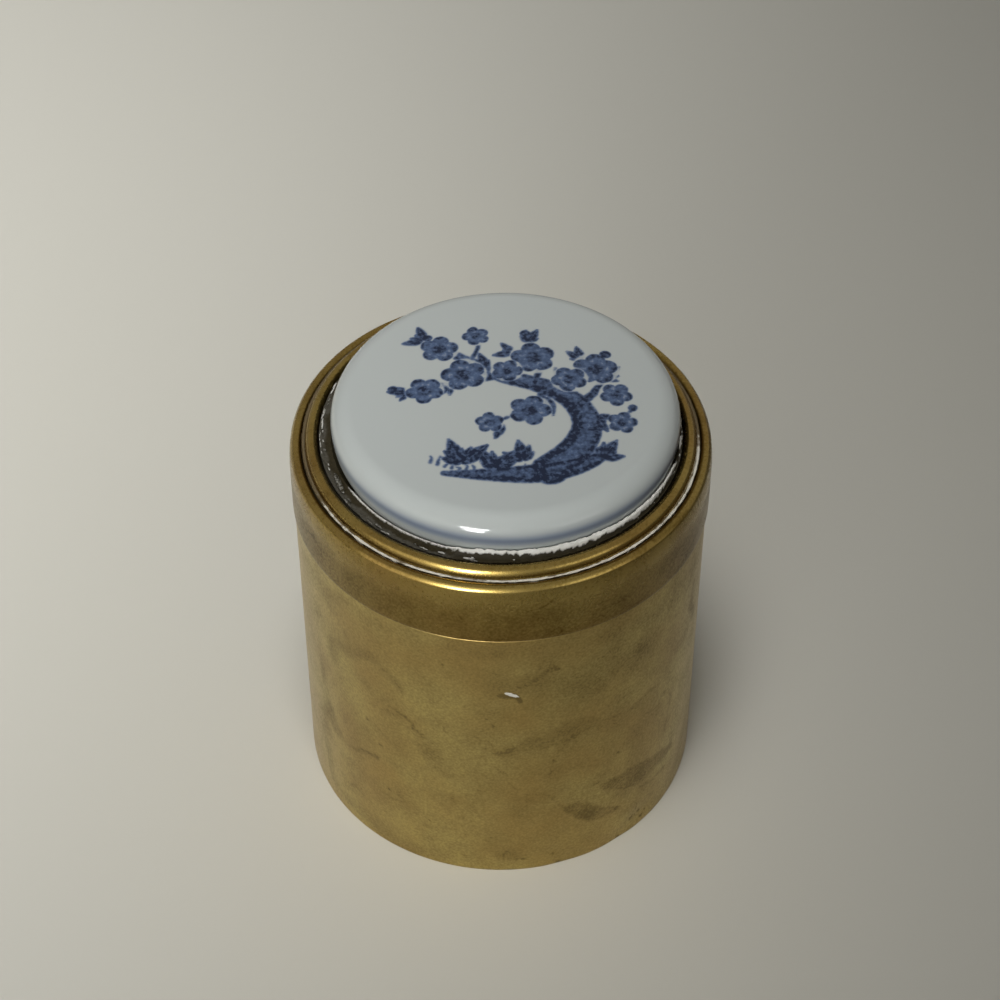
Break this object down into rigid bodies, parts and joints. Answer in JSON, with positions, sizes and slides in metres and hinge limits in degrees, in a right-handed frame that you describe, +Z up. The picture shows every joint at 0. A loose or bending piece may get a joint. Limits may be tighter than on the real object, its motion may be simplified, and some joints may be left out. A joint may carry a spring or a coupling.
{
  "type": "lidded brass container",
  "caption": "Round sheet-brass box whose lift-off lid slides over an inner collar and carries a domed porcelain plaque in a moulded ring.",
  "frame": {"origin": "middle of the circle that the foot stands on", "axes": "+Z up along the axis of the wall, the way the lid lifts; -Y is the side that the picture sees"},
  "size_m": [0.0646, 0.0646, 0.0753],
  "materials": {
    "body_brass": "satin, rubbed sheet brass with a patchy olive tarnish",
    "lid_brass": "handled to a soft polish, browner than the body",
    "inner_brass": "dull, unpolished sheet brass",
    "solder": "dull grey soft solder with chalky polish residue",
    "cement": "crumbling grey filler, white where broken and dark where lost",
    "porcelain": "glossy bluish-white glaze over a soft cobalt print"
  },
  "bodies": {
    "body": {"body_wall": "body_brass", "base_plate": "inner_brass", "base_solder": "solder", "neck_collar": "inner_brass"},
    "lid": {"lid_skirt": "lid_brass", "lid_plate": "inner_brass", "rim_moulding": "lid_brass", "bezel_ring": "lid_brass", "groove_solder": "solder", "plaque_cement": "cement", "porcelain_plaque": "porcelain"}
  },
  "joints": [
    {"name": "lid_lift", "type": "slide", "parent": "body", "child": "lid", "axis": [0, 0, 1], "range_m": [0, 0.06]}
  ]
}
